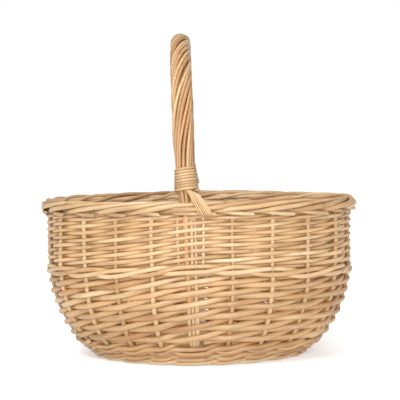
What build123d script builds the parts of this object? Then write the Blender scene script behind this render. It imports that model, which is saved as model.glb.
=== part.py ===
"""Oval woven market basket of willow rods with one fixed, roped hoop handle.

Frame: +Z up, the basket stands on z = 0, X runs along the oval's long axis and the handle spans the
short axis, Y. Millimetres. The wall is described by its middle surface: an oval of four tangent arcs
at the rim, which flows in towards the base by the same amount all the way round.
"""

import os
from math import asin, atan2, cos, degrees, radians, sin, sqrt, tan

from build123d import *

os.makedirs("parts", exist_ok=True)

# ---- driving dimensions -------------------------------------------------------------------------
rim_half_length = 202.0  # middle of the wall, along X
rim_half_width = 154.0  # middle of the wall, along Y
end_radius = 125.0  # of the oval's two end arcs
wall_curve = 170.0  # radius of the wall's upright curve
straight_from = 134.0  # the wall is upright above this height

upsett_top = 26.0  # heights where one kind of weave gives way to the next
lower_top = 118.0
upper_top = 198.0
border_top = 215.0

lower_thickness = 16.0  # of the weave, from its inside to its outside
upper_thickness = 14.0
border_inside = 11.0  # how far the border reaches each side of the wall's middle
border_outside = 13.0
border_round = 6.5

base_low = 4.0
base_high = 16.0
foot_lip = 10.0  # how far the foot ring reaches in under the base
foot_round = 7.0

stake_diameter = 5.5
stake_pitches_per_side = 11  # from the front handle place to the back one, each way round
stake_in_base = 20.0
stake_turn = 12.0
stake_bend = 150.0

long_stick_diameter = 5.5
short_stick_diameter = 9.0
long_stick_spacing = 15.0
long_stick_count = 3
short_stick_spacing = 25.0
short_stick_count = 7
stick_to_edge = 26.0

handle_x = -11.0  # the handle stands a little to one side of the middle
bend_height = 190.0  # the hoop's legs stand upright below this
foot_lean = 5.1  # degrees, towards -X, from there up to the top of the collar
hoop_lean = 1.6  # and above the collar
handle_top = 436.0
handle_shoulder = 129.0  # half the distance between the hoop's two shoulders
handle_arch = 138.0  # radius of each shoulder
handle_foot_bend = 60.0
rope_diameter = 27.0
bow_diameter = 9.0
bow_foot = 80.0
handle_stake_offsets = (-17.0, -8.5, 8.5, 17.0)

collar_low = 222.5
collar_high = 257.0
collar_wide = 35.0
collar_narrow = 28.0

band_width = 22.0
band_thickness = 4.0
band_offset = 18.5  # from the handle's place to the band's middle, along X
band_gap = 0.1
band_edge_round = 0.5

# ---- the oval and the wall -----------------------------------------------------------------------
end_centre = rim_half_length - end_radius
end_rise = rim_half_width - end_radius
side_radius = end_radius + (end_centre**2 + end_rise**2) / (2 * end_rise)
side_centre = side_radius - rim_half_width
end_half_angle = degrees(atan2(side_centre, end_centre))
side_half_angle = 90 - end_half_angle

# each sector of the oval: centre x, centre y, radius at the rim, first angle, angle turned
sectors = [
    (0, side_centre, side_radius, 270 - side_half_angle, 2 * side_half_angle),
    (end_centre, 0, end_radius, -end_half_angle, 2 * end_half_angle),
    (0, -side_centre, side_radius, 90 - side_half_angle, 2 * side_half_angle),
    (-end_centre, 0, end_radius, 180 - end_half_angle, 2 * end_half_angle),
]
perimeter = sum(radians(turn) * radius for _, _, radius, _, turn in sectors)


def upright_plane(centre_x, centre_y, angle):
    """The plane through a sector's axis whose x runs outwards at this angle and whose y is up."""
    outwards = (cos(radians(angle)), sin(radians(angle)), 0)
    across = (sin(radians(angle)), -cos(radians(angle)), 0)
    return Plane(origin=(centre_x, centre_y, 0), x_dir=outwards, z_dir=across)


def place_on_oval(distance):
    """(upright plane, radius) at this length along the oval, from its front middle towards +X."""
    distance = (distance + radians(side_half_angle) * side_radius) % perimeter
    for centre_x, centre_y, radius, first, turn in sectors:
        length = radians(turn) * radius
        if distance <= length:
            return upright_plane(centre_x, centre_y, first + degrees(distance / radius)), radius
        distance -= length
    raise ValueError("no such place on the oval")


def wall_inset(height, beside=0.0):
    """Where the wall stands at this height, measured outwards from the rim oval.

    beside is a distance outwards from the wall's middle surface.
    """
    below = max(0.0, straight_from - height)
    return sqrt((wall_curve + beside) ** 2 - below**2) - wall_curve


def ring(draw_profile):
    """A profile turned round all four sectors. draw_profile(plane, radius) makes one sector's face."""
    with BuildPart(mode=Mode.PRIVATE) as turned:
        for centre_x, centre_y, radius, first, turn in sectors:
            profile = draw_profile(upright_plane(centre_x, centre_y, first), radius)
            revolve(profile, axis=Axis((centre_x, centre_y, 0), (0, 0, 1)), revolution_arc=turn)
    return turned.part


def curved_band(low, high, thickness):
    """The profile of a band of the wall's curved part, level at its top and bottom."""

    def draw(plane, radius):
        outer, inner = (
            [(radius + wall_inset(z, beside), z) for z in (low, (low + high) / 2, high)]
            for beside in (thickness / 2, -thickness / 2)
        )
        with BuildSketch(plane, mode=Mode.PRIVATE) as section:
            with BuildLine():
                ThreePointArc(*outer)
                Line(outer[2], inner[2])
                ThreePointArc(*inner)
                Line(inner[0], outer[0])
            make_face()
        return section.sketch

    return draw


def upright_band(low, high, thickness):
    """The profile of a band of the wall's upright part."""

    def draw(plane, radius):
        with BuildSketch(plane, mode=Mode.PRIVATE) as section:
            with Locations((radius, (low + high) / 2)):
                Rectangle(thickness, high - low)
        return section.sketch

    return draw


base_edge = wall_inset(base_high, -lower_thickness / 2)


def foot_profile(plane, radius):
    """The upsett's profile: the wall's first rounds, which are also the foot the basket stands on."""
    half = lower_thickness / 2
    outer = [(radius + wall_inset(z, half), z) for z in (0, upsett_top / 2, upsett_top)]
    rise = (base_high, (base_high + upsett_top) / 2, upsett_top)
    inner = [(radius + wall_inset(z, -half), z) for z in rise]
    under = (radius + base_edge, base_low)
    lip = (radius + base_edge - foot_lip, base_low)
    with BuildSketch(plane, mode=Mode.PRIVATE) as section:
        with BuildLine():
            ThreePointArc(*outer)
            Line(outer[2], inner[2])
            ThreePointArc(*inner)
            Polyline(inner[0], under, lip, (lip[0], 0), outer[0])
        make_face()
        fillet(section.vertices().sort_by_distance(outer[0])[0], foot_round)
    return section.sketch


def border_profile(plane, radius):
    """The border's rounded profile."""
    middle = radius + (border_outside - border_inside) / 2
    with BuildSketch(plane, mode=Mode.PRIVATE) as section:
        with Locations((middle, (upper_top + border_top) / 2)):
            RectangleRounded(border_inside + border_outside, border_top - upper_top, border_round)
    return section.sketch


# ---- stakes --------------------------------------------------------------------------------------
front_place = handle_x
back_place = perimeter / 2 - handle_x


def stake(distance):
    """One stake: pushed into the base, turned up at its edge and up the wall to the border."""
    plane, radius = place_on_oval(distance)
    middle = (base_low + base_high) / 2
    turn_up = wall_inset(middle)
    tangent_height = straight_from - wall_curve * tan(asin((straight_from - middle) / wall_curve) / 2)
    with BuildPart(mode=Mode.PRIVATE) as made:
        with BuildLine(plane) as path:
            FilletPolyline(
                (radius + base_edge - stake_in_base, middle),
                (radius + turn_up, middle),
                (radius, tangent_height),
                (radius, upper_top),
                radius=[stake_turn, stake_bend],
            )
        with BuildSketch(Plane(origin=path.line @ 0, z_dir=path.line % 0)):
            Circle(stake_diameter / 2)
        sweep(path=path.line)
    return made.part


right_pitch = (back_place - front_place) / stake_pitches_per_side
left_pitch = (perimeter + front_place - back_place) / stake_pitches_per_side
stake_places = [front_place + i * right_pitch for i in range(1, stake_pitches_per_side)]
stake_places += [back_place + i * left_pitch for i in range(1, stake_pitches_per_side)]

with BuildPart() as side_stakes:
    for place in stake_places:
        add(stake(place))
side_stakes.part.label = "side_stakes"

with BuildPart() as front_handle_stakes:
    for beside in handle_stake_offsets:
        add(stake(front_place + beside))
front_handle_stakes.part.label = "front_handle_stakes"

with BuildPart() as back_handle_stakes:
    for beside in handle_stake_offsets:
        add(stake(back_place + beside))
back_handle_stakes.part.label = "back_handle_stakes"

all_stakes = (side_stakes, front_handle_stakes, back_handle_stakes)

# ---- handle bow ----------------------------------------------------------------------------------
wall_at_handle = sqrt(side_radius**2 - handle_x**2) - side_centre
hoop_middle_top = handle_top - rope_diameter / 2


def hoop_point(y, z):
    """A point of the hoop's middle line, which leans over most where it leaves the border."""
    in_collar = min(max(0.0, z - bend_height), collar_high - bend_height) * tan(radians(foot_lean))
    above_collar = max(0.0, z - collar_high) * tan(radians(hoop_lean))
    return (handle_x - in_collar - above_collar, y, z)


def leg_point(z, side):
    """A point of one leg's straight middle line. side is -1 at the front and 1 at the back."""
    share = (z - bend_height) / (hoop_middle_top - bend_height)
    return hoop_point(side * (wall_at_handle + share * (handle_shoulder - wall_at_handle)), z)


foot_slope = asin((straight_from - bow_foot) / wall_curve)
foot_corner_height = straight_from - wall_curve * tan(foot_slope / 2)
foot_y = wall_at_handle + wall_inset(bow_foot)

with BuildPart() as handle_bow:
    with BuildLine() as bow_line:
        FilletPolyline(
            (handle_x, -foot_y, bow_foot),
            (handle_x, -wall_at_handle, foot_corner_height),
            leg_point(bend_height, -1),
            leg_point(collar_high, -1),
            leg_point(hoop_middle_top, -1),
            leg_point(hoop_middle_top, 1),
            leg_point(collar_high, 1),
            leg_point(bend_height, 1),
            (handle_x, wall_at_handle, foot_corner_height),
            (handle_x, foot_y, bow_foot),
            radius=[
                stake_bend,
                handle_foot_bend,
                handle_foot_bend,
                handle_arch,
                handle_arch,
                handle_foot_bend,
                handle_foot_bend,
                stake_bend,
            ],
        )
    with BuildSketch(Plane(origin=bow_line.line @ 0, z_dir=bow_line.line % 0)):
        Circle(bow_diameter / 2)
    sweep(path=bow_line.line)
handle_bow.part.label = "handle_bow"

# ---- handle rope, collars and bands --------------------------------------------------------------
with BuildPart() as handle_rope:
    with BuildLine() as rope_line:
        FilletPolyline(
            leg_point(collar_high, -1),
            leg_point(hoop_middle_top, -1),
            leg_point(hoop_middle_top, 1),
            leg_point(collar_high, 1),
            radius=handle_arch,
        )
    with BuildSketch(Plane(origin=rope_line.line @ 0, z_dir=rope_line.line % 0)):
        Circle(rope_diameter / 2)
    sweep(path=rope_line.line)
    add(handle_bow.part, mode=Mode.SUBTRACT)
handle_rope.part.label = "handle_rope"


def collar(side):
    """The binding round one foot of the hoop, wider at the border than at the rope."""
    foot = Vector(*leg_point(collar_low, side))
    head = Vector(*leg_point(collar_high, side))
    shoulder = Vector(*leg_point(hoop_middle_top, side))
    with BuildPart(mode=Mode.PRIVATE) as made:
        with BuildSketch(Plane(origin=foot, z_dir=head - foot)):
            Circle(collar_wide / 2)
        with BuildSketch(Plane(origin=head, z_dir=shoulder - head)):
            Circle(collar_narrow / 2)
        loft()
        add(handle_bow.part, mode=Mode.SUBTRACT)
    return made.part


with BuildPart() as front_collar:
    add(collar(-1))
front_collar.part.label = "front_collar"

with BuildPart() as back_collar:
    add(collar(1))
back_collar.part.label = "back_collar"


def cross_band(distance):
    """The flat band of thin rods that ties the handle down, over the border and down its outside."""
    plane, radius = place_on_oval(distance)
    inside = radius - border_inside + border_round
    outside = radius + border_outside + band_gap + band_thickness
    top = border_top + band_gap + band_thickness
    with BuildPart(mode=Mode.PRIVATE) as made:
        with BuildSketch(plane):
            with BuildLine():
                FilletPolyline(
                    (inside, top),
                    (outside, top),
                    (outside, upper_top),
                    (outside - band_thickness, upper_top),
                    (outside - band_thickness, top - band_thickness),
                    (inside, top - band_thickness),
                    radius=[border_round + band_thickness, band_edge_round, band_edge_round, border_round],
                    close=False,
                )
                Line((inside, top - band_thickness), (inside, top))
            make_face()
        extrude(amount=band_width / 2, both=True)
        add(border.part, mode=Mode.SUBTRACT)
    return made.part


# ---- base ----------------------------------------------------------------------------------------
base_middle = (base_low + base_high) / 2
base_half_length = rim_half_length + base_edge
base_half_width = rim_half_width + base_edge
long_half = base_half_length - stick_to_edge

with BuildPart() as base_long_sticks:
    with BuildSketch(Plane.YZ.offset(-long_half)):
        with Locations((0, base_middle)):
            with GridLocations(long_stick_spacing, 1, long_stick_count, 1):
                Circle(long_stick_diameter / 2)
    extrude(amount=2 * long_half)
base_long_sticks.part.label = "base_long_sticks"


def half_width_at(x):
    """Half the base's width at this x, on its side arc."""
    return sqrt((side_radius + base_edge) ** 2 - x**2) - side_centre


with BuildPart() as base_short_sticks:
    for place in GridLocations(short_stick_spacing, 1, short_stick_count, 1).locations:
        half = half_width_at(place.position.X) - stick_to_edge
        with BuildSketch(Plane.XZ.offset(-half)):
            with Locations((place.position.X, base_middle)):
                Circle(short_stick_diameter / 2)
        extrude(amount=2 * half)
    add(base_long_sticks.part, mode=Mode.SUBTRACT)
base_short_sticks.part.label = "base_short_sticks"

with BuildPart() as base_weave:
    with BuildSketch(Plane.XY.offset(base_low)):
        with BuildLine():
            for centre_x, centre_y, radius, first, turn in sectors:
                CenterArc((centre_x, centre_y), radius + base_edge, first, turn)
        make_face()
    extrude(amount=base_high - base_low)
    for inner in (base_long_sticks, base_short_sticks, *all_stakes):
        add(inner.part, mode=Mode.SUBTRACT)
base_weave.part.label = "base_weave"

# ---- wall ----------------------------------------------------------------------------------------
with BuildPart() as upsett_wale:
    add(ring(foot_profile))
    for inner in all_stakes:
        add(inner.part, mode=Mode.SUBTRACT)
upsett_wale.part.label = "upsett_wale"

with BuildPart() as lower_randing:
    add(ring(curved_band(upsett_top, lower_top, lower_thickness)))
    for inner in (*all_stakes, handle_bow):
        add(inner.part, mode=Mode.SUBTRACT)
lower_randing.part.label = "lower_randing"

with BuildPart() as middle_wale:
    add(ring(curved_band(lower_top, straight_from, lower_thickness)))
    for inner in (*all_stakes, handle_bow):
        add(inner.part, mode=Mode.SUBTRACT)
middle_wale.part.label = "middle_wale"

with BuildPart() as upper_randing:
    add(ring(upright_band(straight_from, upper_top, upper_thickness)))
    for inner in (*all_stakes, handle_bow):
        add(inner.part, mode=Mode.SUBTRACT)
upper_randing.part.label = "upper_randing"

with BuildPart() as border:
    add(ring(border_profile))
    add(handle_bow.part, mode=Mode.SUBTRACT)
border.part.label = "border"

with BuildPart() as front_cross_band:
    add(cross_band(front_place + band_offset))
front_cross_band.part.label = "front_cross_band"

with BuildPart() as back_cross_band:
    add(cross_band(back_place + band_offset))
back_cross_band.part.label = "back_cross_band"

# ---- files ---------------------------------------------------------------------------------------
pieces = (
    *all_stakes,
    base_long_sticks,
    base_short_sticks,
    base_weave,
    upsett_wale,
    lower_randing,
    middle_wale,
    upper_randing,
    border,
    handle_bow,
    handle_rope,
    front_collar,
    back_collar,
    front_cross_band,
    back_cross_band,
)
for piece in pieces:
    export_step(piece.part, f"parts/{piece.part.label}.step")
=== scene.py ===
"""Looks of the oval willow basket: every stake, weaver and binding is its own tapered rod, woven over
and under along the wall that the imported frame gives. Metres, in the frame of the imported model."""

import math

import bpy
import numpy as np
from mathutils import Euler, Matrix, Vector


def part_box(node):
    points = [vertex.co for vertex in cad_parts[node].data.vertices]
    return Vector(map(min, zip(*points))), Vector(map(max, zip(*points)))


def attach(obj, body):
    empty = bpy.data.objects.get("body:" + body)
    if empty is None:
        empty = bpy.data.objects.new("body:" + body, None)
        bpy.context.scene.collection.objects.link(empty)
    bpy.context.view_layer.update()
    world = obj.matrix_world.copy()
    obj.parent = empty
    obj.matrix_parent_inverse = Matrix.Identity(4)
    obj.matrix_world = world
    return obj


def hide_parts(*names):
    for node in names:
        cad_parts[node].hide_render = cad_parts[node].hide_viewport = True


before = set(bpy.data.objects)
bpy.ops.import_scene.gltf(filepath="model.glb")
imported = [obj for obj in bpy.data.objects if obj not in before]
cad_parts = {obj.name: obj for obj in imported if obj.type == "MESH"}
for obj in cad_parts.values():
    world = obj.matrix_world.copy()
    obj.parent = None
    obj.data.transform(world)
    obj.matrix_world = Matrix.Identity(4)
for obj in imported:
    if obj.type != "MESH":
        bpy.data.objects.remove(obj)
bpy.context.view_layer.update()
rng = np.random.default_rng(20)

# ---- the wall, from the frame --------------------------------------------------------------------
randing_low, randing_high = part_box("upper_randing")
HALF_WALL = 0.007  # half the upper weave's thickness, from the wall's middle to its outside
RIM_LENGTH = randing_high.x - HALF_WALL
RIM_WIDTH = randing_high.y - HALF_WALL
END_RADIUS = 0.125  # of the rim oval's two end arcs
WALL_CURVE = 0.170  # radius of the wall's profile below its upright part
STRAIGHT_FROM = randing_low.z
FOOT_FROM = 0.002  # below this profile length the wall drops straight down to the floor
FOOT_TURN = 0.007  # the profile length over which it turns to do so
FOOT_PINCH, PINCH_FROM = 0.009, 0.030  # how much closer in the foot is at the basket's two ends
HANDLE_X = -0.011  # the handle stands a little to the left of the middle

END_CENTRE = RIM_LENGTH - END_RADIUS
END_RISE = RIM_WIDTH - END_RADIUS
SIDE_RADIUS = END_RADIUS + (END_CENTRE**2 + END_RISE**2) / (2 * END_RISE)
SIDE_CENTRE = SIDE_RADIUS - RIM_WIDTH
END_HALF = math.atan2(SIDE_CENTRE, END_CENTRE)
SIDE_HALF = math.pi / 2 - END_HALF
SECTORS = (
    (0, SIDE_CENTRE, SIDE_RADIUS, 1.5 * math.pi - SIDE_HALF, 2 * SIDE_HALF),
    (END_CENTRE, 0, END_RADIUS, -END_HALF, 2 * END_HALF),
    (0, -SIDE_CENTRE, SIDE_RADIUS, 0.5 * math.pi - SIDE_HALF, 2 * SIDE_HALF),
    (-END_CENTRE, 0, END_RADIUS, math.pi - END_HALF, 2 * END_HALF),
)
PERIMETER = sum(radius * turn for _, _, radius, _, turn in SECTORS)


def oval(s):
    """Points of the rim oval and its outward directions, at lengths s from its front middle."""
    s = np.mod(np.asarray(s, float) + SIDE_HALF * SIDE_RADIUS, PERIMETER)
    point = np.zeros(s.shape + (2,))
    out = np.zeros(s.shape + (2,))
    start = 0.0
    for x, y, radius, first, turn in SECTORS:
        inside = (s >= start) & (s <= start + radius * turn)
        angle = first + (s[inside] - start) / radius
        out[inside] = np.stack([np.cos(angle), np.sin(angle)], -1)
        point[inside] = np.array([x, y]) + radius * out[inside]
        start += radius * turn
    return point, out


def wall(s, t, n):
    """Points of the wall and the wall's outward directions there.

    s is the length round the oval, t the length up the wall's profile and n the distance outwards."""
    s, t, n = np.broadcast_arrays(*(np.asarray(v, float) for v in (s, t, n)))
    theta = np.clip((STRAIGHT_FROM - t) / WALL_CURVE, 0.0, (STRAIGHT_FROM - FOOT_FROM) / WALL_CURVE)
    facing = theta * np.clip(1 + (t - FOOT_FROM) / FOOT_TURN, 0.0, 1.0)
    point, out = oval(s)
    aside = WALL_CURVE * np.cos(theta) - WALL_CURVE + n * np.cos(facing)
    lowness = np.clip(1 - t / PINCH_FROM, 0.0, 1.2)
    aside = aside - FOOT_PINCH * (point[..., 0] / RIM_LENGTH) ** 2 * lowness**2
    z = np.where(t > STRAIGHT_FROM, t, STRAIGHT_FROM - WALL_CURVE * np.sin(theta) - n * np.sin(facing))
    z = z + np.minimum(0.0, t - FOOT_FROM)
    flat = point + out * aside[..., None]
    outwards = np.concatenate([out * np.cos(facing)[..., None], -np.sin(facing)[..., None]], -1)
    return np.concatenate([flat, z[..., None]], -1), outwards


# ---- the stakes' places --------------------------------------------------------------------------
PITCHES = 11  # from the front handle place to the back one, each way round
STAKES = 2 * PITCHES
FRONT_PLACE = HANDLE_X
BACK_PLACE = PERIMETER / 2 - HANDLE_X
RIGHT_PITCH = (BACK_PLACE - FRONT_PLACE) / PITCHES
LEFT_PITCH = (PERIMETER + FRONT_PLACE - BACK_PLACE) / PITCHES
GROUP_HALF = 0.018  # half the width of the handle's group of stakes
GROUP_SHARE = 0.12  # the share of a pitch that the group takes up each side

knots_u, knots_s = [], []
for half, (place, pitch) in enumerate(((FRONT_PLACE, RIGHT_PITCH), (BACK_PLACE, LEFT_PITCH))):
    knots_u += [half * PITCHES - GROUP_SHARE, half * PITCHES + GROUP_SHARE]
    knots_s += [place - GROUP_HALF, place + GROUP_HALF]
    for k in range(1, PITCHES):
        knots_u.append(half * PITCHES + k)
        knots_s.append(place + k * pitch)
KNOTS_U = np.array([u - STAKES for u in knots_u] + knots_u + [u + STAKES for u in knots_u])
KNOTS_S = np.array([s - PERIMETER for s in knots_s] + knots_s + [s + PERIMETER for s in knots_s])


def place_of(u):
    """The length round the oval at stake number u, which may be a fraction."""
    u = np.asarray(u, float)
    turns = np.floor(u / STAKES)
    return np.interp(u - turns * STAKES, KNOTS_U, KNOTS_S) + turns * PERIMETER


STAKE_NUMBERS = np.arange(-STAKES, 3 * STAKES + 1)
STAKE_PLACES = place_of(STAKE_NUMBERS)


def climbed(u):
    """How many stakes a climbing rod has passed at u, counting evenly across the handle's group too."""
    return np.interp(place_of(u), STAKE_PLACES, STAKE_NUMBERS)


HANDLE_REACH = 0.022  # how far to each side the handle's stakes disturb the weave
ENDS_FROM, ENDS_FULL = 0.12, 0.20  # where round the oval, as |x|, the basket's ends begin and are in full


def near_handle(s):
    """1 at the handle's two groups of stakes, fading to 0 beside them."""
    s = np.asarray(s, float)
    total = 0.0
    for place in (FRONT_PLACE, BACK_PLACE):
        away = np.mod(s - place + PERIMETER / 2, PERIMETER) - PERIMETER / 2
        total = total + np.exp(-((away / HANDLE_REACH) ** 2))
    return total


def near_ends(s):
    """0 along the basket's sides, rising to 1 round its two ends, where the rods bend more sharply."""
    return np.clip((np.abs(oval(s)[0][..., 0]) - ENDS_FROM) / (ENDS_FULL - ENDS_FROM), 0.0, 1.0)


# ---- rods ----------------------------------------------------------------------------------------
TUCKED_PAINTED_SHADE, TUCKED_PAINTED_WARMTH = 0.05, 0.45  # painted shade: rods are darker and warmer where they are tucked in behind a stake
FLANK_PAINTED_SHADE, FLANK_PAINTED_WARMTH = 0.13, 0.68  # and more painted shade along the flanks where they lie against each other
MIDDLE_SHADE, SHADE_SPREAD = 0.5, 0.11  # a rod's shade of colour: the middle one, and how rods differ
WANDER_WAVES = (38.0, 83.0, 51.0, 97.0)  # radians a metre: a slow and a quick wander outwards, then sideways
KNOT_LENGTH, KNOT_HEIGHT = 0.0026, 0.16  # half a knot's length, and how proud it stands in rod radii


class Rods:
    """A piece made of rods: tapered tubes with knots, in one mesh."""

    def __init__(self):
        self.points, self.grain, self.look, self.quads, self.caps = [], [], [], [], []
        self.count = 0

    def add(self, path, outwards, thick, thin, sides=12, spacing=0.003, wobble=0.0003,
            slant=(0.0, 0.0), tone=0.0, warmth=0.0, point_ends=(0.0, 0.0), oval_section=(1.0, 1.0),
            sheltered=None):
        """One rod along path, with the directions that face out of the wall along it.

        thick and thin are its diameters at its first and last point, tone and warmth move its colour,
        slant cuts its ends askew and point_ends brings them to a point over these lengths. The last
        argument says, point by point, how far it is tucked in: 0 outside, 1 behind a stake. There it
        takes painted shade, as it does along its flanks."""
        step = np.linalg.norm(np.diff(path, axis=0), axis=1)
        walked = np.concatenate([[0.0], np.cumsum(step)])
        rings = max(5, int(round(walked[-1] / spacing)) + 1)
        at = np.linspace(0.0, walked[-1], rings)
        centre = np.stack([np.interp(at, walked, path[:, k]) for k in range(3)], 1)
        up = np.stack([np.interp(at, walked, outwards[:, k]) for k in range(3)], 1)
        along = np.gradient(centre, at, axis=0)
        along /= np.linalg.norm(along, axis=1)[:, None]
        up -= (up * along).sum(1)[:, None] * along
        up /= np.linalg.norm(up, axis=1)[:, None]
        across = np.cross(along, up)

        phase = rng.uniform(0, 2 * math.pi, 6)
        sway = [np.sin(at * w + phase[k]) for k, w in enumerate(WANDER_WAVES)]
        centre = centre + wobble * ((sway[0] + 0.6 * sway[1])[:, None] * up)
        centre = centre + wobble * ((sway[2] + 0.6 * sway[3])[:, None] * across)

        radius = np.interp(at, [0, walked[-1]], [thick, thin]) / 2
        radius = radius * (1 + 0.025 * np.sin(at * 62 + phase[4]) + 0.015 * np.sin(at * 171 + phase[5]))
        angle = np.arange(sides) * 2 * math.pi / sides
        knot = np.zeros((rings, sides))
        where = rng.uniform(-0.05, 0.15)
        while where < walked[-1]:
            strength, facing = rng.uniform(0.3, 1.0), rng.uniform(0, 2 * math.pi)
            length = np.exp(-(((at - where) / KNOT_LENGTH) ** 2))
            knot = np.maximum(knot, strength * length[:, None] * np.exp(1.6 * (np.cos(angle - facing) - 1)))
            where += rng.uniform(0.06, 0.22)
        for end, length in enumerate(point_ends):
            if length > 0:
                from_end = at if end == 0 else walked[-1] - at
                radius = radius * np.clip(0.15 + 0.85 * from_end / length, 0.0, 1.0)

        flat = 1 + 0.05 * np.sin(2 * angle + phase[0])[None, :]  # no rod is quite round
        ring_radius = radius[:, None] * flat * (1 + KNOT_HEIGHT * knot)
        ring = (
            centre[:, None, :]
            + (oval_section[0] * ring_radius * np.cos(angle))[..., None] * up[:, None, :]
            + (oval_section[1] * ring_radius * np.sin(angle))[..., None] * across[:, None, :]
        )
        lean = rng.uniform(0, 2 * math.pi)
        for end, amount in zip((0, -1), slant):
            if amount:
                shift = amount * radius[end] * (1 - np.cos(angle - lean))
                inwards = along[end] if end == 0 else -along[end]
                ring[end] += shift[:, None] * inwards
        seeds = rng.uniform(0, 9.0, 3)
        grain = np.stack(
            [
                np.broadcast_to(at[:, None] + seeds[0], ring_radius.shape),
                ring_radius * np.cos(angle) + seeds[1],
                ring_radius * np.sin(angle) + seeds[2],
            ],
            -1,
        )
        # painted shade: darker and warmer where the rod is tucked in behind a stake, and along its flanks
        # where its neighbours shade it
        tucked = np.zeros(rings) if sheltered is None else np.interp(at, walked, sheltered)
        flank_shade_mask = np.exp(-(((np.cos(angle) + 0.05) / 0.5) ** 2))[None, :]
        shade = MIDDLE_SHADE + tone + rng.normal(0, SHADE_SPREAD)
        shade = shade - TUCKED_PAINTED_SHADE * tucked[:, None] - FLANK_PAINTED_SHADE * flank_shade_mask
        warm = warmth + rng.beta(1.4, 3.2) + TUCKED_PAINTED_WARMTH * tucked[:, None] + FLANK_PAINTED_WARMTH * flank_shade_mask
        look = np.zeros(ring.shape)
        look[..., 0] = np.clip(shade, 0.05, 0.95)
        look[..., 1] = np.clip(warm, 0, 1)
        look[..., 2] = knot

        first = self.count
        i = np.arange(rings - 1)[:, None] * sides
        k = np.arange(sides)[None, :]
        nxt = (k + 1) % sides
        quads = np.stack([i + k, i + nxt, i + sides + nxt, i + sides + k], -1).reshape(-1, 4)
        self.quads.append(first + quads)
        last = first + (rings - 1) * sides
        self.caps.append(first + np.arange(sides)[::-1])
        self.caps.append(last + np.arange(sides))
        self.points.append(ring.reshape(-1, 3))
        self.grain.append(grain.reshape(-1, 3))
        self.look.append(look.reshape(-1, 3))
        self.count += rings * sides

    def build(self, name, slot, materials, *nodes):
        """The piece itself, which stands for these CAD nodes."""
        points = np.concatenate(self.points)
        quads = np.concatenate(self.quads)
        mesh = bpy.data.meshes.new(name)
        mesh.vertices.add(len(points))
        mesh.vertices.foreach_set("co", points.astype(np.float32).ravel())
        loops = [quads.ravel()] + self.caps
        sizes = np.concatenate([np.full(len(quads), 4), [len(c) for c in self.caps]])
        starts = np.concatenate([[0], np.cumsum(sizes)[:-1]])
        loops = np.concatenate(loops)
        mesh.loops.add(len(loops))
        mesh.loops.foreach_set("vertex_index", loops.astype(np.int32))
        mesh.polygons.add(len(sizes))
        mesh.polygons.foreach_set("loop_start", starts.astype(np.int32))
        mesh.polygons.foreach_set("loop_total", sizes.astype(np.int32))
        is_cap = np.arange(len(sizes)) >= len(quads)
        mesh.polygons.foreach_set("material_index", is_cap.astype(np.int32))
        mesh.update(calc_edges=True)
        mesh.validate()
        mesh.polygons.foreach_set("use_smooth", ~is_cap)
        for attribute, values in (("grain", self.grain), ("look", self.look)):
            made = mesh.attributes.new(attribute, "FLOAT_VECTOR", "POINT")
            made.data.foreach_set("vector", np.concatenate(values).astype(np.float32).ravel())
        for material in materials:
            mesh.materials.append(material)
        piece = bpy.data.objects.new(name, mesh)
        bpy.context.scene.collection.objects.link(piece)
        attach(piece, "root")
        if nodes:
            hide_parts(*nodes)
        return piece


# ---- materials -----------------------------------------------------------------------------------
def ramp(nodes, stops):
    """A colour ramp through these (position, colour) stops, given in order."""
    node = nodes.new("ShaderNodeValToRGB")
    elements = node.color_ramp.elements
    for position, _ in stops[2:]:
        elements.new(position)
    for element, (position, colour) in zip(elements, stops):
        element.position = position
        element.color = (*colour, 1.0)
    return node


KNOT_DARKENS = -0.42
TONE_OFFSET = -0.74  # brings the sum of the noises back to the middle of the ramp
FIBRES_TONE, BROAD_TONE, MOTTLE_TONE = 0.45, 0.75, 0.40


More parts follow.
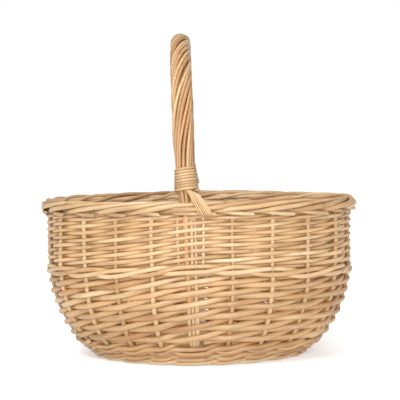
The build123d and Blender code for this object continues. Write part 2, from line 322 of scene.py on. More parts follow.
def willow(name, stops, warm, roughness=(0.34, 0.54), cut=False):
    """Peeled, buffed willow: long fibres, mottling, rod-to-rod changes of shade and darker knots."""
    material = bpy.data.materials.new(name)
    material.use_nodes = True
    tree = material.node_tree
    nodes, links = tree.nodes, tree.links
    nodes.clear()
    output = nodes.new("ShaderNodeOutputMaterial")
    shader = nodes.new("ShaderNodeBsdfPrincipled")
    links.new(shader.outputs[0], output.inputs[0])

    grain = nodes.new("ShaderNodeAttribute")
    grain.attribute_name = "grain"
    look = nodes.new("ShaderNodeAttribute")
    look.attribute_name = "look"
    parts = nodes.new("ShaderNodeSeparateXYZ")
    links.new(look.outputs["Vector"], parts.inputs[0])

    def noise(stretch, detail, rough=0.55):
        """Noise in the rod's own grain, with stretch as its frequencies along and across the rod."""
        mapping = nodes.new("ShaderNodeMapping")
        mapping.inputs["Scale"].default_value = stretch
        links.new(grain.outputs["Vector"], mapping.inputs["Vector"])
        texture = nodes.new("ShaderNodeTexNoise")
        texture.inputs["Scale"].default_value = 1.0
        texture.inputs["Detail"].default_value = detail
        texture.inputs["Roughness"].default_value = rough
        links.new(mapping.outputs[0], texture.inputs["Vector"])
        return texture.outputs[0]

    def scaled(socket, amount, offset=0.0):
        """socket * amount + offset"""
        node = nodes.new("ShaderNodeMath")
        node.operation = "MULTIPLY_ADD"
        node.inputs[1].default_value = amount
        node.inputs[2].default_value = offset
        links.new(socket, node.inputs[0])
        return node.outputs[0]

    def combined(operation, first, second):
        """The outcome of a Math node's operation on two sockets."""
        node = nodes.new("ShaderNodeMath")
        node.operation = operation
        links.new(first, node.inputs[0])
        links.new(second, node.inputs[1])
        return node.outputs[0]

    fibres = noise((26, 1500, 1500) if not cut else (900, 900, 900), 3.0)
    broad = noise((16, 90, 90), 2.0)
    mottle = noise((190, 420, 420), 4.0, 0.65)
    knots = parts.outputs[2]

    tone = scaled(parts.outputs[0], 1.0, TONE_OFFSET)
    for socket, amount in ((fibres, FIBRES_TONE), (broad, BROAD_TONE), (mottle, MOTTLE_TONE)):
        tone = combined("ADD", tone, scaled(socket, amount))
    tone = combined("ADD", tone, scaled(knots, KNOT_DARKENS))
    colours = ramp(nodes, stops)
    links.new(tone, colours.inputs[0])

    # mixed towards the warm colour by each rod's warmth, which holds its own tone and the painted shade of
    # its flanks and tucked-in parts
    mix = nodes.new("ShaderNodeMix")
    mix.data_type = "RGBA"
    mix.inputs["B"].default_value = (*warm, 1.0)
    links.new(colours.outputs[0], mix.inputs["A"])
    amount = combined("MULTIPLY", parts.outputs[1], scaled(broad, 1.1, -0.05))
    links.new(amount, mix.inputs["Factor"])
    links.new(mix.outputs["Result"], shader.inputs["Base Color"])

    low, high = roughness
    links.new(scaled(mottle, high - low, low), shader.inputs["Roughness"])
    shader.inputs["Specular IOR Level"].default_value = 0.70

    height = combined("ADD", scaled(fibres, 1.0), scaled(mottle, 0.5))
    bump = nodes.new("ShaderNodeBump")
    bump.inputs["Strength"].default_value = 0.35
    bump.inputs["Distance"].default_value = 0.0003
    links.new(height, bump.inputs["Height"])
    links.new(bump.outputs[0], shader.inputs["Normal"])
    return material


# colour ramps: peeled and buffed skin, a clean cut end, and a darker cut end for the border, painted shade
BUFF = [
    (0.0, (0.205, 0.090, 0.030)),
    (0.28, (0.333, 0.196, 0.085)),
    (0.52, (0.434, 0.288, 0.145)),
    (0.78, (0.538, 0.406, 0.242)),
    (1.0, (0.638, 0.535, 0.378)),
]
PALE = [
    (0.0, (0.20, 0.105, 0.045)),
    (0.4, (0.33, 0.21, 0.105)),
    (1.0, (0.46, 0.35, 0.22)),
]
CUT_PAINTED_SHADE = [
    (0.0, (0.14, 0.065, 0.026)),
    (0.4, (0.25, 0.135, 0.060)),
    (1.0, (0.37, 0.235, 0.120)),
]
# the colour that rods warm towards: partly their own tone from rod to rod, partly the painted shade along
# their flanks and where they are tucked in
ORANGE = (0.49, 0.234, 0.073)
skin = willow("willow_skin", BUFF, ORANGE)
bow_skin = willow("willow_bow_skin", BUFF, (0.50, 0.195, 0.050))
cut_wood = willow("willow_cut", PALE, (0.62, 0.44, 0.24), roughness=(0.7, 0.9), cut=True)
# the border's cut ends use a darker copy of the cut wood: painted shade
cut_painted_shade = willow("willow_cut_painted_shade", CUT_PAINTED_SHADE, (0.30, 0.17, 0.08), roughness=(0.7, 0.9), cut=True)
WILLOW = (skin, cut_wood)
BORDER_WILLOW = (skin, cut_painted_shade)
BOW = (bow_skin, cut_wood)


# ---- how the weave climbs ------------------------------------------------------------------------
UPPER_PITCHES, LOWER_PITCHES = 14, 12  # how many stakes on a rod ends


def upper_rise(m):
    """Height up the wall of an upper rod, m stakes after its start."""
    return 0.1380 + 0.0048 * m - 0.00003 * m**2


def lower_rise(m):
    """The same for a lower rod. Thick at first and thin at last, the rods climb less and less."""
    return 0.0264 + 0.00934 * m - 0.0001250 * m**2


def settled(s, t):
    """Height up the wall of a row that is at t by the handle: the rows run lower round the ends."""
    x = oval(s)[0][..., 0]
    dip = (0.0110 + 0.010 * x) * (1 - np.exp(-((x / 0.12) ** 2)))
    share = np.interp(t, [0.0, 0.035, 0.08, 0.13, 0.19, 0.215], [0.0, 0.65, 1.0, 1.0, 0.45, 0.15])
    return t - dip * share


def drift(s, t):
    """How far the whole weave has settled up or down here. Neighbouring rods move together."""
    return 0.0006 * np.sin(s * 31 + t * 22 + 1.0) + 0.0004 * np.sin(s * 57 - t * 48 + 2.2)


UPPER_PUSH, LOWER_PUSH = 0.0011, 0.0012  # how far the rods push a stake to and fro


def stake_sway(t):
    """How far a stake is pushed outwards by the rods behind it, or inwards by those before it."""
    total = np.zeros_like(t)
    for rise, pitches, push in (
        (upper_rise, UPPER_PITCHES, UPPER_PUSH),
        (lower_rise, LOWER_PITCHES, LOWER_PUSH),
    ):
        m = np.linspace(0, pitches, 400)
        at = np.interp(t, rise(m), m)
        total += np.where((at > 0) & (at < pitches), push * np.cos(math.pi * at), 0.0)
    return total


# ---- stakes --------------------------------------------------------------------------------------
STAKE_TOP = 0.200
STAKE_FOOT = 0.012  # profile length where a stake turns in under the weave
base_low, base_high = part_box("base_weave")
BASE_MIDDLE = (base_low.z + base_high.z) / 2
BASE_REACH, EDGE_TURN = 0.026, 0.010  # a stake's length inside the base, and the size of its turn there
WALE_LOW, WALE_HIGH = 0.1245, 0.136  # the profile lengths between which the handle's stakes spread
BEHIND_BOW = 0.0045  # how far inwards a stake steps to pass behind the bow
BEHIND_COURSE = ((0.082, 0.092, WALE_LOW, WALE_HIGH), (0, 1, 1, 0))  # and where it does so
STAKE_THICK, STAKE_THIN = 0.0064, 0.0060
HANDLE_STAKE_THICK, HANDLE_STAKE_THIN = 0.0050, 0.0046


def stake_path(s, sway=1.0, aside=(0.0, 0.0), behind_bow=False):
    """From inside the base, round its edge and up the wall.

    aside says how far it stands beside s, above the middle wale and below it, where the stakes that
    close in on the handle's bow run behind it."""
    t = np.linspace(STAKE_FOOT, STAKE_TOP, 160)
    beside = np.interp(t, [WALE_LOW, WALE_HIGH], aside[::-1])
    behind = BEHIND_BOW * behind_bow * np.interp(t, *BEHIND_COURSE)
    s = s + beside
    up, out = wall(s, settled(s, t), sway * stake_sway(t) - behind)
    edge, direction = up[0], out[0]
    flat = np.array([direction[0], direction[1], 0.0])
    flat /= np.linalg.norm(flat)
    corner = edge - EDGE_TURN * flat
    corner[2] = BASE_MIDDLE
    inner = corner - BASE_REACH * flat
    turn_from = inner * 0.4 + corner * 0.6
    w = np.linspace(0, 1, 20)[:, None]
    turn = (1 - w) ** 2 * turn_from + 2 * w * (1 - w) * corner + w**2 * edge
    run = inner + (turn_from - inner) * np.linspace(0, 1, 8)[:-1, None]
    path = np.concatenate([run, turn[:-1], up])
    outs = np.concatenate([np.tile([0, 0, -1.0], (len(path) - len(out), 1)), out])
    return path, outs


side_stakes = Rods()
for i in range(STAKES):
    if i % PITCHES:
        path, outs = stake_path(float(place_of(i)))
        side_stakes.add(path, outs, STAKE_THICK, STAKE_THIN, wobble=0.0004, tone=-0.09)
side_stakes.build("side_stakes", "willow_stakes", WILLOW, "side_stakes")

HANDLE_GROUP = (
    # beside the handle's middle above the middle wale and below it, and whether it passes behind the bow
    (-0.0151, -0.0032, True),
    (0.0020, 0.0017, True),
    (0.0071, 0.0068, False),
    (0.0165, 0.0080, True),
)
for name, place in (("front_handle_stakes", FRONT_PLACE), ("back_handle_stakes", BACK_PLACE)):
    group = Rods()
    for above, below, behind_bow in HANDLE_GROUP:
        path, outs = stake_path(place, sway=0.3, aside=(above, below), behind_bow=behind_bow)
        group.add(path, outs, HANDLE_STAKE_THICK, HANDLE_STAKE_THIN, wobble=0.0003, tone=0.05)
    group.build(name, "willow_stakes", WILLOW, name)


# ---- randing -------------------------------------------------------------------------------------
REST_INWARDS = 0.0006  # the rods lie this much more inside the stakes than outside
HANDLE_CALMS, ENDS_SWING = 0.0003, 0.0009  # less swing at the handle, more round the ends
LEAD_IN, LEAD_OUT = 0.90, 0.85  # how far the ends are tucked in before the first and after the last stake
SQUARENESS = 1 / 14  # flattens each crest, so that a rod hugs its stake


def randing(name, rise, pitches, amplitude, thick, thin, pieces, slot, node, tone=0.0):
    """One rod for each stake, each starting one stake further on: behind one stake, before the next."""
    for piece in range(pieces):
        rods = Rods()
        for j in range(piece, STAKES, pieces):
            m = np.linspace(-LEAD_IN, pitches + LEAD_OUT, int(pitches * 40))
            s = place_of(j + m)
            swing = amplitude - HANDLE_CALMS * near_handle(s) + ENDS_SWING * near_ends(s)
            own = 0.00015 * (rng.uniform(-1, 1) + np.sin(m * rng.uniform(0.8, 1.6) + rng.uniform(0, 6)))
            turn = math.pi * np.clip(m, 0, pitches)
            n = -swing * (np.cos(turn) + np.cos(3 * turn) * SQUARENESS) / (1 + SQUARENESS) - REST_INWARDS
            height = rise(climbed(j + m) - j)
            t = height + own + drift(s, height)
            path, outs = wall(s, settled(s, t), n)
            size = rng.uniform(0.97, 1.05)
            # the rods take painted shade where they pass behind a stake
            rods.add(path, outs, thick * size, thin * size, tone=tone, slant=(0.9, 0.9), wobble=0.00015,
                     oval_section=(0.95, 1.10), sheltered=0.5 * (1 + np.cos(turn)))
        rods.build(f"{name}_{piece + 1}", slot, WILLOW, node)


randing("upper_randing", upper_rise, UPPER_PITCHES, 0.0028, 0.0048, 0.0047, 6,
        "willow_weave", "upper_randing")
randing("lower_randing", lower_rise, LOWER_PITCHES, 0.0032, 0.0082, 0.0062, 6,
        "willow_weave", "lower_randing", tone=-0.12)


# ---- waling --------------------------------------------------------------------------------------
BEND = 0.8  # how many pitches before a stake a waling rod begins to bend in behind it
OVERLAP = 0.3  # how many pitches it runs on past its first and last stake


def waling(rods, start, length, level, climb, diameter, amplitude, drifting=1.0, wave=0.0, tone=0.0):
    """Three rods in turn, each before two stakes and behind the third.

    They start at stake start and run on for length stakes, at level up the profile, climbing by climb
    a round. wave makes them dip at each stake."""
    for q in range(3):
        u = np.linspace(start + q - OVERLAP, start + q + length + OVERLAP, int(length * 40))
        p = np.mod(u - q - start, 3.0)
        s = place_of(u)
        x = np.minimum(p, 3.0 - p)
        bump = np.where(x < BEND, 0.5 * (1 + np.cos(math.pi * x / BEND)), 0.0)
        swing = amplitude + 0.0012 * near_handle(s)
        belly = 0.10 * amplitude * np.maximum(0, 1 - np.abs(p - 1.5) / 0.5) * (1 - bump)
        n = swing * (1 - 2 * bump) + belly
        turn = np.sin(2 * math.pi * p / 3)
        v = -0.64 * diameter * turn
        n = n + 0.18 * diameter * turn
        t = level + climb * (u - start) / STAKES + v
        t = t + drift(s, level) * drifting - wave * np.cos(2 * math.pi * u)
        path, outs = wall(s, settled(s, t), n)
        size = rng.uniform(0.96, 1.04)
        # each rod takes painted shade where it bends in behind a stake
        rods.add(path, outs, diameter * size, diameter * size, wobble=0.00015, sheltered=bump, tone=tone)


middle_wale = Rods()
waling(middle_wale, 5, STAKES, 0.1298, 0.0, 0.0061, 0.0038)
middle_wale.build("middle_wale", "willow_weave", WILLOW, "middle_wale")
upsett = Rods()
waling(upsett, 13, STAKES, -0.0067, 0.0, 0.0044, 0.0026, drifting=0.0, tone=-0.05)
waling(upsett, 14, int(2.1 * STAKES), -0.0015, 0.0130, 0.0064, 0.0046, drifting=0.0, wave=0.0018, tone=-0.14)
upsett.build("upsett_wale", "willow_weave", WILLOW, "upsett_wale")

# ---- border --------------------------------------------------------------------------------------
BORDER_COURSE = np.array(
    [
        # stakes passed on, distance outwards, height
        (-0.02, 0.0, 0.1860),
        (0.02, -0.2, 0.1930),
        (0.14, -1.2, 0.1985),
        (0.50, -3.0, 0.2005),
        (1.00, -5.5, 0.2015),
        (1.40, 2.0, 0.2028),
        (2.00, 9.5, 0.2060),
        (2.50, 9.8, 0.2088),
        (3.00, 6.8, 0.2115),
        (3.50, 3.2, 0.2132),
        (4.00, -1.0, 0.2135),
        (4.50, -5.5, 0.2116),
        (5.00, -8.2, 0.2075),
        (5.60, -1.0, 0.2036),
        (6.00, 7.8, 0.2011),
        (6.52, 9.2, 0.1994),
    ]
)


def smooth_course(course, u):
    """A smooth line through the course's points, at u."""
    at = course[:, 0]
    columns = []
    for k in (1, 2):
        slope = np.gradient(course[:, k], at)
        i = np.clip(np.searchsorted(at, u) - 1, 0, len(at) - 2)
        span = at[i + 1] - at[i]
        w = (u - at[i]) / span
        columns.append(
            (2 * w**3 - 3 * w**2 + 1) * course[i, k]
            + (w**3 - 2 * w**2 + w) * span * slope[i]
            + (3 * w**2 - 2 * w**3) * course[i + 1, k]
            + (w**3 - w**2) * span * slope[i + 1]
        )
    return columns


BORDER_PIECES = 4
BORDER_THICK, BORDER_THIN = 0.0067, 0.0050
for piece in range(BORDER_PIECES):
    rods = Rods()
    for j in range(STAKES):
        if j % BORDER_PIECES != piece:
            continue
        u = np.linspace(BORDER_COURSE[0, 0], BORDER_COURSE[-1, 0] + rng.uniform(-0.12, 0.1), 300)
        n, z = smooth_course(BORDER_COURSE, u)
        s = place_of(j + u)
        path, outs = wall(s, settled(s, z + rng.uniform(-0.0004, 0.0004)), n * 0.001)
        size = rng.uniform(0.95, 1.06)
        rods.add(path, outs, BORDER_THICK * size, BORDER_THIN * size, slant=(0, 1.3), wobble=0.0002,
                 tone=-0.15, warmth=-0.12)
    rods.build(f"border_{piece + 1}", "willow_border", BORDER_WILLOW, "border")

LINING_RODS = 3  # they lie along the border's inner side, slowly turning round each other
LINING_START, LINING_OVERLAP = 13.5, 0.5  # stakes: where they start, at the back, and run on past that
LINING_TWIST = 5.5  # stakes to a turn
LINING_LEVEL, LINING_INSIDE = 0.2062, -0.0042  # height and distance outwards of their common middle
LINING_RISE, LINING_SWING = 0.0030, 0.0022  # how far each goes up and down, and in and out
ENDS_RAISE, ENDS_SPREAD = 0.0022, 0.0026  # round the ends they lie higher and further out
LINING_THICK, LINING_THIN = 0.0060, 0.0056
lining = Rods()
for q in range(LINING_RODS):
    u = np.linspace(LINING_START, LINING_START + STAKES + LINING_OVERLAP, 900)
    turn = 2 * math.pi * (u / LINING_TWIST + q / LINING_RODS)
    s = place_of(u)
    t = LINING_LEVEL + ENDS_RAISE * near_ends(s) + LINING_RISE * np.sin(turn)
    n = LINING_INSIDE + ENDS_SPREAD * near_ends(s) + LINING_SWING * np.cos(turn)
    path, outs = wall(s, settled(s, t), n)
    lining.add(path, outs, LINING_THICK, LINING_THIN, wobble=0.0002, tone=0.20, warmth=-0.05)
lining.build("border_lining", "willow_border", BORDER_WILLOW, "border")

# ---- handle --------------------------------------------------------------------------------------
BEND_HEIGHT = 0.190  # where the bow leaves the wall and the hoop begins
COLLAR_HIGH = 0.257  # the height of the collar's upper edge
FOOT_LEAN, HOOP_LEAN = math.radians(5.1), math.radians(1.6)  # up to the top of the collar, and above it
SHOULDER = 0.129  # half the distance between the two legs' lines at the height of the hoop's top
ARCH = 0.138  # radius of the hoop's top
HOOP_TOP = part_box("handle_rope")[1].z - 0.0135  # of the bow's middle line
LEG_FOOT = float(math.sqrt(SIDE_RADIUS**2 - HANDLE_X**2) - SIDE_CENTRE)


def hoop_line():
    """The hoop's middle line from the front bend to the back one, and its outward directions."""
    foot = np.array([-LEG_FOOT, BEND_HEIGHT])
    corner = np.array([-SHOULDER, HOOP_TOP])
    up = (corner - foot) / np.linalg.norm(corner - foot)
    turn = math.acos(up[0])
    cut = ARCH * math.tan(turn / 2)
    leave = corner - cut * up
    centre = leave + ARCH * np.array([up[1], -up[0]])
    leg = foot + (leave - foot) * np.linspace(0, 1, 80)[:-1, None]
    first = math.atan2(leave[1] - centre[1], leave[0] - centre[0])
    angle = np.linspace(first, math.pi / 2, 140)
    arc = centre + ARCH * np.stack([np.cos(angle), np.sin(angle)], 1)
    half = np.concatenate([leg, arc])
    mirrored = half[::-1] * np.array([-1, 1])
    line = np.concatenate([half, mirrored])
    z = line[:, 1]
    x = HANDLE_X - (np.clip(z, BEND_HEIGHT, COLLAR_HIGH) - BEND_HEIGHT) * math.tan(FOOT_LEAN)
    x = x - np.maximum(0.0, z - COLLAR_HIGH) * math.tan(HOOP_LEAN)
    path = np.stack([x, line[:, 0], z], 1)
    step = np.linalg.norm(np.diff(path, axis=0), axis=1)
    walked = np.concatenate([[0.0], np.cumsum(step)])
    at = np.arange(0.0, walked[-1], 0.001)
    path = np.stack([np.interp(at, walked, path[:, k]) for k in range(3)], 1)
    along = np.gradient(path, axis=0)
    along /= np.linalg.norm(along, axis=1)[:, None]
    right = np.tile([1.0, 0.0, 0.0], (len(path), 1))
    right -= (right * along).sum(1)[:, None] * along
    right /= np.linalg.norm(right, axis=1)[:, None]
    outwards = np.cross(right, along)
    return at, path, right, outwards


HOOP_AT, HOOP_PATH, HOOP_RIGHT, HOOP_OUT = hoop_line()
HOOP_LENGTH = HOOP_AT[-1]


def round_hoop(at, angle, radius):
    """Points round the hoop. Angle 0 is outwards from it and a quarter turn is towards +X."""
    base = np.stack([np.interp(at, HOOP_AT, HOOP_PATH[:, k]) for k in range(3)], 1)
    right = np.stack([np.interp(at, HOOP_AT, HOOP_RIGHT[:, k]) for k in range(3)], 1)
    out = np.stack([np.interp(at, HOOP_AT, HOOP_OUT[:, k]) for k in range(3)], 1)
    direction = np.cos(angle)[:, None] * out + np.sin(angle)[:, None] * right
    return base + radius[:, None] * direction, direction


BOW_DIAMETER = 0.0088
BOW_FOOT = 0.078  # profile length that the bow is pushed down to
BOW_INWARDS, INWARDS_TO = 0.0030, 0.172  # it lies a little inside the wall's middle, up to this height
BOW_SIDEWAYS = (  # heights, and how far it bows to the side there
    (0.080, 0.115, 0.150, 0.190, 0.2225, 0.257),
    (-0.0018, -0.0030, -0.0055, -0.0050, -0.0022, 0.0),
)
bow = Rods()
t = np.linspace(BOW_FOOT, BEND_HEIGHT, 60)
inwards = -BOW_INWARDS * np.interp(t, [INWARDS_TO, BEND_HEIGHT], [1.0, 0.0])
front_foot, front_out = wall(FRONT_PLACE, t, inwards)
back_foot, back_out = wall(BACK_PLACE, t, inwards)
path = np.concatenate([front_foot[:-1], HOOP_PATH[2:-2], back_foot[::-1][1:]])
path[:, 0] += np.interp(path[:, 2], *BOW_SIDEWAYS)
bow.add(
    path,
    np.concatenate([front_out[:-1], HOOP_OUT[2:-2], back_out[::-1][1:]]),
    BOW_DIAMETER, BOW_DIAMETER, sides=16, warmth=0.75, tone=-0.12, slant=(0.6, 0.6),
)
bow.build("handle_bow", "willow_bow", BOW, "handle_bow")

ROPE_RODS = 13
ROPE_RADIUS = 0.0111
ROPE_FROM = 0.010  # length along the hoop where the rope's rods begin
COLLAR_AT = (COLLAR_HIGH - BEND_HEIGHT) * 1.01  # length along the hoop of the collar's upper edge
ROPE_LEAN = (  # lengths above the collar, and degrees that the rods lean there
    (-0.01, 0.01, 0.05, 0.10, 0.17, 0.25),
    (0, 3, 12, 18, 23, 26),
)
ROPE_SQUEEZE = (  # lengths from the hoop's ends, and the radius that the collar pulls the rods in to
    (0.0, COLLAR_AT - 0.03, COLLAR_AT - 0.004, COLLAR_AT + 0.006, COLLAR_AT + 0.03),
    (0.0096, 0.0096, 0.0094, 0.0100, ROPE_RADIUS),
)
CORE_RODS, CORE_RADIUS, CORE_DIAMETER = 8, 0.0066, 0.0044


def twist(at):
    """How far the rope has turned at this length along the hoop."""
    fine = np.arange(0, HOOP_LENGTH, 0.001)
    from_end = np.minimum(fine, HOOP_LENGTH - fine) - COLLAR_AT
    lean = np.interp(from_end, *ROPE_LEAN)
    turned = np.cumsum(np.tan(np.radians(lean)) / ROPE_RADIUS) * 0.001
    return np.interp(at, fine, turned)


at = np.arange(ROPE_FROM, HOOP_LENGTH - ROPE_FROM, 0.001)
squeeze = np.interp(np.minimum(at, HOOP_LENGTH - at), *ROPE_SQUEEZE)
turned = twist(at)
rope = [Rods(), Rods(), Rods()]
for j in range(ROPE_RODS):
    wander = 0.11 * np.sin(at * rng.uniform(14, 26) + rng.uniform(0, 6)) + rng.uniform(-0.09, 0.09)
    angle = 2 * math.pi * j / ROPE_RODS + turned + wander
    lift = 0.00035 * np.sin(at * rng.uniform(18, 34) + rng.uniform(0, 6)) + rng.uniform(-0.0003, 0.0003)
    path, outs = round_hoop(at, angle, squeeze + lift)
    sizes = (rng.uniform(0.0045, 0.0051), rng.uniform(0.0034, 0.0042))
    thick, thin = sizes if j % 2 else sizes[::-1]
    rope[j % 3].add(path, outs, thick, thin, wobble=0.00015, tone=rng.uniform(-0.44, -0.12), spacing=0.0025)
for j, rods in enumerate(rope):
    rods.build(f"handle_rope_{j + 1}", "willow_handle", WILLOW, "handle_rope")
# Rods that fill the rope round the bow. Their dark red colour is painted shade, for the gaps between the
# rope's rods.
core = Rods()
for j in range(CORE_RODS):
    angle = 2 * math.pi * j / CORE_RODS + turned * 0.9
    path, outs = round_hoop(at, angle, np.full(len(at), CORE_RADIUS))
    core.add(path, outs, CORE_DIAMETER, CORE_DIAMETER, sides=8, tone=-0.50, warmth=0.9, spacing=0.004)
core.build("handle_core", "willow_handle", WILLOW)


# ---- collars and cross bands ---------------------------------------------------------------------
COLLAR_TURNS = 8.3
COLLAR_FROM = 0.0380  # length along the hoop of the collar's lowest turn
COLLAR_WIDE, COLLAR_NARROW = 0.0141, 0.0113  # radii of its lowest and highest turn
COLLAR_THICK, COLLAR_THIN = 0.0044, 0.0037
for side, name in ((0, "front_collar"), (1, "back_collar")):
    collar = Rods()
    turn = np.linspace(0, COLLAR_TURNS * 2 * math.pi, int(COLLAR_TURNS * 60))
    share = turn / turn[-1]
    at_collar = COLLAR_FROM + (COLLAR_AT - COLLAR_FROM) * share
    radius = COLLAR_WIDE + (COLLAR_NARROW - COLLAR_WIDE) * share**0.7
    if side:
        at_collar = HOOP_LENGTH - at_collar
    path, outs = round_hoop(at_collar, turn + 0.8, radius)
    collar.add(path, outs, COLLAR_THICK, COLLAR_THIN, spacing=0.002, wobble=0.00012, tone=-0.14, warmth=-0.2,
               point_ends=(0.004, 0.004))
    collar.build(name, "willow_handle", WILLOW, name)

BAND_COURSE = (  # shares of the way from the collar down over the border, heights, distances outwards
    (0.0, 0.12, 0.50, 0.62, 0.90, 1.0),
    (0.2285, 0.2262, 0.2148, 0.2106, 0.2004, 0.1984),
    (0.0078, 0.0083, 0.0114, 0.0129, 0.0131, 0.0085),
)
BAND_RODS, BAND_THICK, BAND_THIN = 6, 0.0025, 0.0024
BAND_SPACING, BAND_FAN = 0.0029, 0.0016  # from rod to rod sideways, and downwards at the collar
BAND_START, BAND_SLANT = 0.0028, 0.0181  # how far beside the handle's middle it starts, and how far it goes
for place, name in ((FRONT_PLACE, "front_cross_band"), (BACK_PLACE, "back_cross_band")):
    band = Rods()
    for k in range(BAND_RODS):
        across = k - (BAND_RODS - 1) / 2
        u = np.linspace(0, 1, 60)
        z = np.interp(u, BAND_COURSE[0], BAND_COURSE[1]) - across * BAND_FAN * (1 - u)
        n = np.interp(u, BAND_COURSE[0], BAND_COURSE[2])
        path, outs = wall(place + BAND_START + BAND_SLANT * u + across * BAND_SPACING, z, n)
        band.add(path, outs, BAND_THICK, BAND_THIN, spacing=0.002, wobble=0.0001, tone=-0.01)
    band.build(name, "willow_handle", WILLOW, name)

# ---- base ----------------------------------------------------------------------------------------
long_low, long_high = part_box("base_long_sticks")
STICK_PITCH = 0.025  # from one short stick to the next
LONG_YS = (-0.015, 0.0, 0.015)
SHORT_XS = tuple(STICK_PITCH * k for k in range(-3, 4))
BASE_INSET = base_high.x - RIM_LENGTH  # negative: the base's edge is inside the rim's
STICK_TO_EDGE = 0.026  # from a short stick's end to the edge of the base
UPWARDS = np.array([0, 0, 1.0])

sticks = Rods()
for y in LONG_YS:
    x = np.linspace(long_low.x, long_high.x, 40)
    path = np.stack([x, np.full(40, y), np.full(40, BASE_MIDDLE)], 1)
    sticks.add(path, np.tile(UPWARDS, (40, 1)), 0.0055, 0.0052, slant=(0.5, 0.5))
sticks.build("base_long_sticks", "willow_base", WILLOW, "base_long_sticks")
sticks = Rods()
for x in SHORT_XS:
    half = math.sqrt((SIDE_RADIUS + BASE_INSET) ** 2 - x**2) - SIDE_CENTRE - STICK_TO_EDGE
    y = np.linspace(-half, half, 40)
    path = np.stack([np.full(40, x), y, np.full(40, BASE_MIDDLE)], 1)
    sticks.add(path, np.tile(UPWARDS, (40, 1)), 0.0088, 0.0084, slant=(0.5, 0.5), warmth=0.2)
sticks.build("base_short_sticks", "willow_base", WILLOW, "base_short_sticks")

ROW = 0.0036  # from one round of weaving to the next, and a weaver's diameter
OVER_SHORT, OVER_LONG = 0.0058, 0.0044  # how far a weaver rises over a short stick and over a long one
BASE_STRETCH = (0.985, 1.04)  # the base fills the foot, which is pinched in at its two ends
FIRST_ROUND = 0.0056  # how far outside the edge of the base the outermost round lies
CLEAR = 0.0034  # how close to a long stick a straight weaver may lie
weavers = [Rods(), Rods(), Rods()]
s = np.linspace(0, PERIMETER, 1200, endpoint=False)
point, out = oval(s)
row = 0
inset = BASE_INSET + FIRST_ROUND
while inset > -END_RADIUS + 0.004:
    flat = (point + inset * out) * BASE_STRETCH
    marks = []  # where this round crosses a stick
    for k in range(len(s)):
        a, b = flat[k - 1], flat[k]
        for x in SHORT_XS:
            if (a[0] - x) * (b[0] - x) <= 0 and a[0] != b[0]:
                marks.append(k)
        for y in LONG_YS:
            if (a[1] - y) * (b[1] - y) <= 0 and a[1] != b[1]:
                marks.append(k)
    marks = np.array(sorted(set(marks)), float)
    ends = np.concatenate([[marks[-1] - len(s)], marks, [marks[0] + len(s)]])
    phase = np.interp(np.arange(len(s) + 1), ends, np.arange(-1, len(marks) + 1))
    loop = np.concatenate([flat, flat[:1]])
    side = np.abs(loop[:, 0]) < SHORT_XS[-1] + 0.012
    height = np.where(side, OVER_SHORT, OVER_LONG) * np.cos(math.pi * (phase + row))
    path = np.concatenate([loop, (BASE_MIDDLE + height)[:, None]], 1)
    weavers[row % 3].add(path, np.tile(UPWARDS, (len(path), 1)), ROW, ROW, sides=8,
                         spacing=0.0035, wobble=0.00015)
    inset -= ROW
    row += 1
# straight weavers fill the middle, beside the long sticks
inner_half = RIM_WIDTH + inset
reach = SHORT_XS[-1] + 0.006
x = np.linspace(-reach, reach, 200)
y = -inner_half + ROW
while y < inner_half:
    if min(abs(y - v) for v in LONG_YS) > CLEAR:
        height = OVER_SHORT * np.cos(math.pi * (x / STICK_PITCH + row))
        path = np.stack([x, np.full(200, y), BASE_MIDDLE + height], 1)
        weavers[row % 3].add(path, np.tile(UPWARDS, (200, 1)), ROW, 0.0034, sides=8,
                             spacing=0.0035, wobble=0.00015)
        row += 1
    y += ROW
for j, rods in enumerate(weavers):
    rods.build(f"base_weave_{j + 1}", "willow_base", WILLOW, "base_weave")

# ---- floor, light and camera ---------------------------------------------------------------------
SEEN_WHITE, SOFT_LIGHT = 1.0, 0.62  # the backdrop as seen, and the soft light that it gives
GLOW_NEAR, GLOW_FAR = 0.44, 0.62  # the floor's own glow round the basket and away from it
floor_mesh = bpy.data.meshes.new("floor")
FLOOR = 30.0  # half its width
corners = [(x * FLOOR, y * FLOOR, 0) for x, y in ((-1, -1), (1, -1), (1, 1), (-1, 1))]
floor_mesh.from_pydata(corners, [], [(0, 1, 2, 3)])
floor = bpy.data.objects.new("floor", floor_mesh)
bpy.context.scene.collection.objects.link(floor)
white = bpy.data.materials.new("studio_white")
white.use_nodes = True
white_shader = white.node_tree.nodes["Principled BSDF"]
white_shader.inputs["Base Color"].default_value = (0.66, 0.66, 0.66, 1)
white_shader.inputs["Emission Color"].default_value = (1, 1, 1, 1)
# the sweep glows a little less round the basket, where the lamps reach it
place, away, glow = (white.node_tree.nodes.new(kind) for kind in (
    "ShaderNodeTexCoord", "ShaderNodeVectorMath", "ShaderNodeMapRange"))
away.operation = "LENGTH"
for socket, value in (("From Min", 0.3), ("From Max", 1.4), ("To Min", GLOW_NEAR), ("To Max", GLOW_FAR)):
    glow.inputs[socket].default_value = value
white.node_tree.links.new(place.outputs["Object"], away.inputs[0])
white.node_tree.links.new(away.outputs["Value"], glow.inputs["Value"])
white.node_tree.links.new(glow.outputs["Result"], white_shader.inputs["Emission Strength"])
white_shader.inputs["Roughness"].default_value = 0.9
white_shader.inputs["Specular IOR Level"].default_value = 0.0
floor_mesh.materials.append(white)

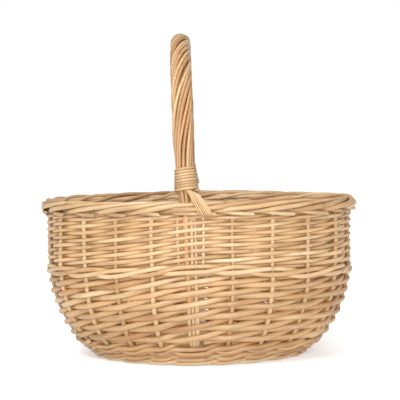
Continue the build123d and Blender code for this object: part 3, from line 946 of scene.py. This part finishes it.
world = bpy.data.worlds.new("studio")
world.use_nodes = True
nodes, links = world.node_tree.nodes, world.node_tree.links
seen, lit = nodes["Background"], nodes.new("ShaderNodeBackground")
seen.inputs[1].default_value = SEEN_WHITE
seen.inputs[0].default_value = (1, 1, 1, 1)
lit.inputs[0].default_value = (1, 1, 1, 1)
lit.inputs[1].default_value = SOFT_LIGHT
rays, either = nodes.new("ShaderNodeLightPath"), nodes.new("ShaderNodeMixShader")
links.new(rays.outputs["Is Camera Ray"], either.inputs[0])
links.new(lit.outputs[0], either.inputs[1])
links.new(seen.outputs[0], either.inputs[2])
links.new(either.outputs[0], nodes["World Output"].inputs[0])
bpy.context.scene.world = world


def area(name, place, aim, size, power, glossy=True):
    """A round soft lamp at place that looks at aim. Without glossy it leaves no highlights."""
    data = bpy.data.lights.new(name, "AREA")
    data.shape = "DISK"
    data.size = size
    data.energy = power
    lamp = bpy.data.objects.new(name, data)
    lamp.location = place
    lamp.visible_glossy = glossy
    lamp.rotation_euler = (Vector(aim) - Vector(place)).to_track_quat("-Z", "Y").to_euler()
    bpy.context.scene.collection.objects.link(lamp)


# name, place, aim, diameter in metres and watts
area("front", (0.15, -2.3, 0.70), (0, 0, 0.12), 1.6, 47)
area("key", (-0.9, -1.3, 1.8), (0, 0, 0.12), 0.8, 20)
area("top", (0.0, -0.6, 2.2), (0, 0, 0.1), 1.2, 16)
area("back", (-0.3, 2.3, 1.3), (0, 0, 0.12), 1.8, 20, glossy=False)

LENS = 115.38  # mm, on a 36 mm sensor
LOOK_DOWN, ROLL = math.radians(2.8), math.radians(-0.75)
camera_data = bpy.data.cameras.new("camera")
camera_data.sensor_width = 36.0
camera_data.lens = LENS
camera = bpy.data.objects.new("camera", camera_data)
camera.location = (0.002, -1.75, 0.295)
turned = Euler((math.pi / 2 - LOOK_DOWN, 0, 0)).to_matrix() @ Euler((0, 0, ROLL)).to_matrix()
camera.rotation_euler = turned.to_euler()
bpy.context.scene.collection.objects.link(camera)
bpy.context.scene.camera = camera
bpy.context.scene.view_settings.view_transform = "Standard"
